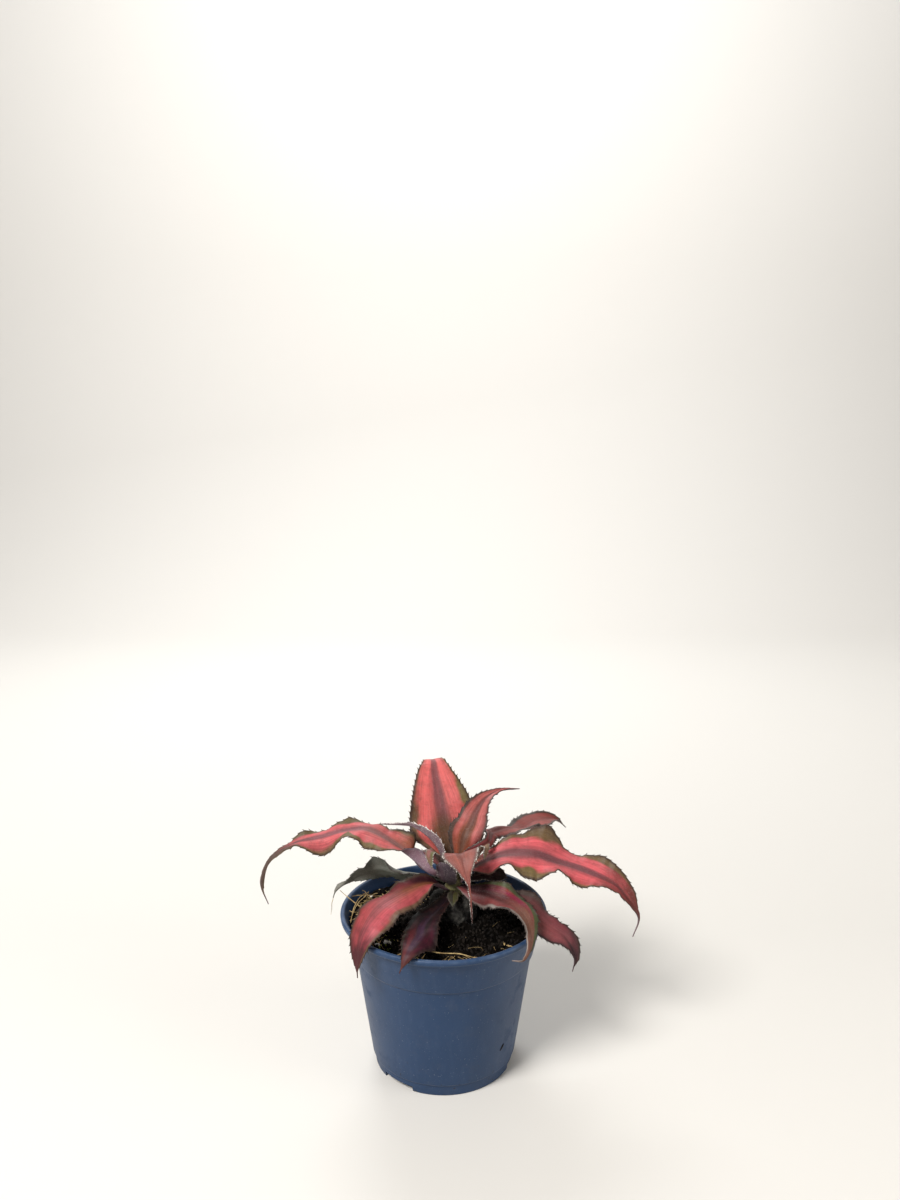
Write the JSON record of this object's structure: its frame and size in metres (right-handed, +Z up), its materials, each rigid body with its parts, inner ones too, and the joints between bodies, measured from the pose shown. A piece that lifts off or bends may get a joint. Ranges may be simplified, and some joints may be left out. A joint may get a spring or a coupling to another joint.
{
  "type": "earth star bromeliad in a plastic pot",
  "caption": "Potted earth star bromeliad: a rosette of wavy, saw-edged, striped leaves on a short stem, in a tapered plastic nursery pot.",
  "frame": {"origin": "on the pot's axis, on the flat round pad in the middle of the underside, level with the surface that the pot stands on", "axes": "+Z up along the pot's axis; -Y is the front; +X is to the right of someone who looks at the front"},
  "size_m": [0.1662, 0.099, 0.1237],
  "materials": {
    "pot_plastic": "matte",
    "peat": "matte",
    "plug": "matte",
    "stem": "matte",
    "leaf_red": "satin",
    "leaf_dark": "satin",
    "leaf_green": "matte"
  },
  "bodies": {
    "root": {"pot": "pot_plastic", "soil": "peat", "root_plug": "plug", "stem": "stem", "leaf_tall_back": "leaf_red", "leaf_back_right": "leaf_red", "leaf_right_back": "leaf_red", "leaf_big_right": "leaf_red", "leaf_long_left": "leaf_red", "leaf_young_curled": "leaf_dark", "leaf_heart_cup": "leaf_dark", "leaf_front_hanging": "leaf_red", "leaf_heart_ruffled": "leaf_green", "leaf_front_left": "leaf_red", "leaf_front_small": "leaf_dark", "leaf_left_back": "leaf_green", "leaf_front_right": "leaf_red", "leaf_lower_right": "leaf_dark", "leaf_small_left": "leaf_green", "leaf_small_front": "leaf_green", "leaf_old_right": "leaf_dark", "leaf_hidden_back": "leaf_dark", "leaf_hidden_right": "leaf_dark", "leaf_hidden_left": "leaf_red"}
  },
  "joints": []
}
